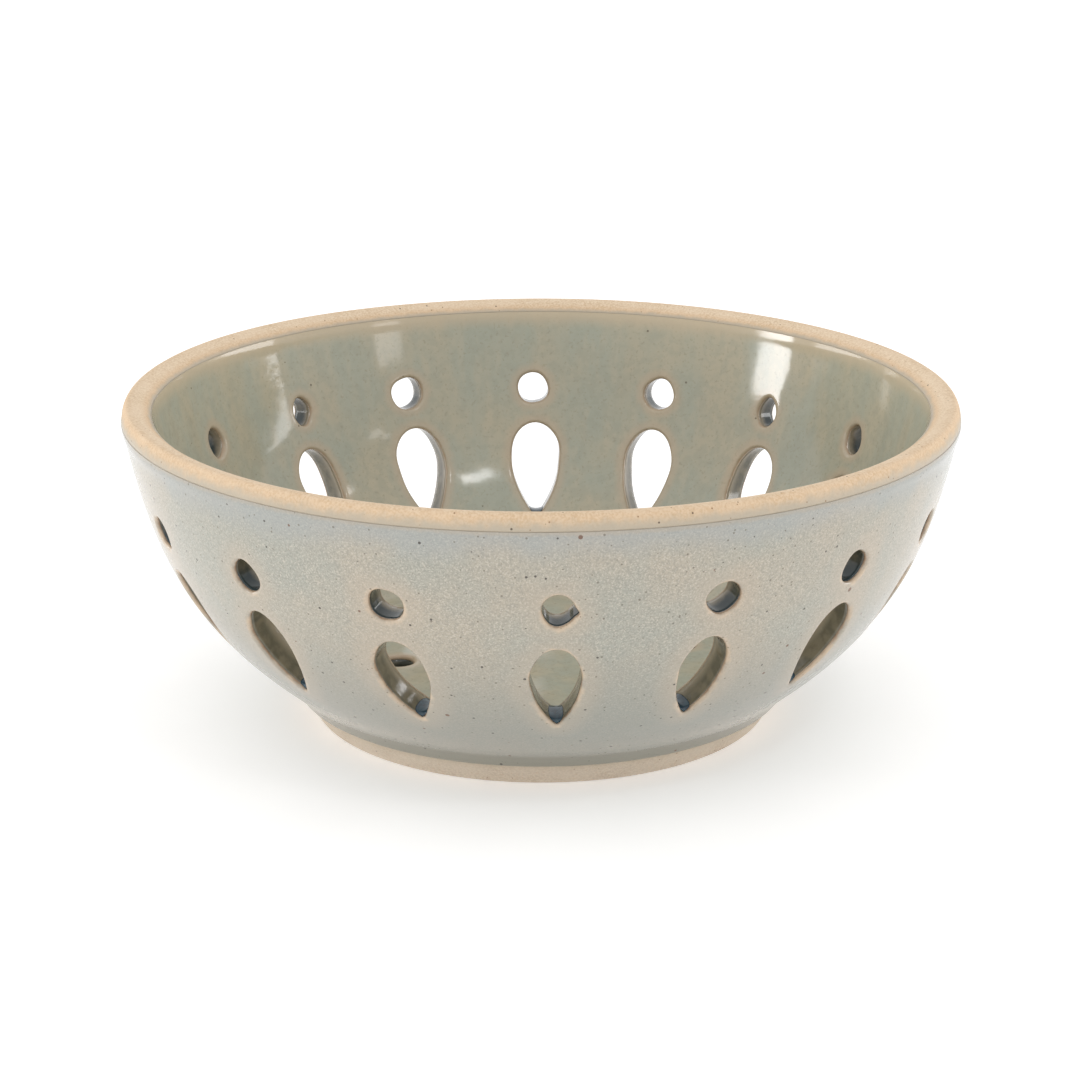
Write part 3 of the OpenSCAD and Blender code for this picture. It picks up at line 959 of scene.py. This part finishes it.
# Drain linings: the same dark glaze where it ran through the drains in the floor, down to the
# recess inside the foot.
drain_sides = 72
drain_deep = np.linspace(floor_top - drain_round, recess_top + drain_round, 4)
lining_path = [[drain_r, z] for z in drain_deep] + [[drain_r + glaze_t, z] for z in drain_deep[::-1]]
lining_path = np.array(lining_path + lining_path[:1])
one_drain = around(np.linspace(0, TURN, drain_sides + 1)[None], lining_path[:, None])
drain_grid = np.stack([one_drain + [x, y, 0] for x, y in drain_spots])
make_piece(
    "drain_linings", [(drain_grid, {"low_in_hole": 0.0, "way_in": 0.4})],
    "drain_hole_glaze", round_lining,
)


# Floor: the slab that closes the bowl. It lies between the floor's two coats of glaze, so its
# clay doesn't show, and it keeps the shape that the frame gives it.
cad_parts["floor"].data.materials.clear()
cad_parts["floor"].data.materials.append(hidden_clay)


# Studio: a plain white table that glows faintly, which is painted light, in a light tent that is
# dimmer high on the right. A small window and a broad low panel stand on the left, another panel
# on the right, and a key light high in front on the right. The other three only make small spots
# that the glossy glaze mirrors.
table = bpy.data.meshes.new("table")
table_half = 6.0
corners = [(-1, -1), (1, -1), (1, 1), (-1, 1)]
table.from_pydata([(x * table_half, y * table_half, 0) for x, y in corners], [], [(0, 1, 2, 3)])
table_top = bpy.data.objects.new("table", table)
bpy.context.scene.collection.objects.link(table_top)
paper = Finish("white_table")
shade = paper.mix(paper.ease(paper.noise(40, 2), 0.2, 0.8), tone(253, 253, 253), tone(255, 255, 255))
# Painted light: the table glows, which lightens its own shadow and lights the bowl's foot from below.
painted_glow = {"Emission Color": (1, 1, 1, 1), "Emission Strength": 0.22}
table.materials.append(paper.close({"Base Color": shade, "Roughness": 0.9, **painted_glow}))

sky = Graph(bpy.data.worlds.new("light_tent"))
seen = sky.node("ShaderNodeTexCoord", out="Generated")
right_side = sky.ease(sky.node("ShaderNodeSeparateXYZ", (), {0: seen}, out="X"), 0.2, 0.9)
upper_side = sky.ease(sky.node("ShaderNodeSeparateXYZ", (), {0: seen}, out="Z"), 0.12, 0.5)
tent = sky.mix(right_side * upper_side, (1, 1, 1, 1), (0.75, 0.75, 0.75, 1))
tent_light = sky.node("ShaderNodeBackground", (), {"Color": tent, "Strength": 0.98})
sky.node("ShaderNodeOutputWorld", (), {"Surface": tent_light})
bpy.context.scene.world = sky.owner
lamp_distance = 1.2
bowl_middle = Vector((0, 0, bowl_h / 2)) * MM


def soft_light(name, azimuth, elevation, wide, high, radiance):
    """A rectangular light that faces the bowl: where it stands, from +Y clockwise seen from above
    and up from level, and how far it spreads, all in degrees. Power is radiance times pi times
    its area."""
    turn, tilt = np.radians([azimuth, elevation])
    away = Vector((np.sin(turn) * np.cos(tilt), np.cos(turn) * np.cos(tilt), np.sin(tilt)))
    data = bpy.data.lights.new(name, "AREA")
    data.shape = "RECTANGLE"
    data.size, data.size_y = 2 * lamp_distance * np.tan(np.radians([wide, high]) / 2)
    data.energy = radiance * np.pi * data.size * data.size_y
    light = bpy.data.objects.new(name, data)
    light.location = bowl_middle + away * lamp_distance
    light.rotation_euler = away.to_track_quat("Z", "Y").to_euler()
    bpy.context.scene.collection.objects.link(light)


soft_light("window_left", -99, 7, 12, 9, 12)
soft_light("panel_left", -66, 4, 34, 12, 3.5)
soft_light("panel_right", 73, 6, 34, 16, 4)
soft_light("key_right", 150, 54, 9, 4, 10)
soft_light("low_spot", 132, 9, 9, 5, 2.6)
soft_light("side_spot", 92, 39, 3, 3, 6)
soft_light("front_streak", 120, 27, 5, 1.5, 3)

eye = Vector((-13.08, -416.33, 160.75)) * MM
aim = Vector((-0.13, 0.0, 25.89)) * MM
camera_data = bpy.data.cameras.new("camera")
camera_data.lens, camera_data.sensor_width = 93.95, 36.0
camera_data.clip_start, camera_data.clip_end = 0.01, 50.0
camera = bpy.data.objects.new("camera", camera_data)
camera.location = eye
camera.rotation_euler = (aim - eye).to_track_quat("-Z", "Y").to_euler()
bpy.context.scene.collection.objects.link(camera)
bpy.context.scene.camera = camera
bpy.context.scene.view_settings.view_transform = "Standard"
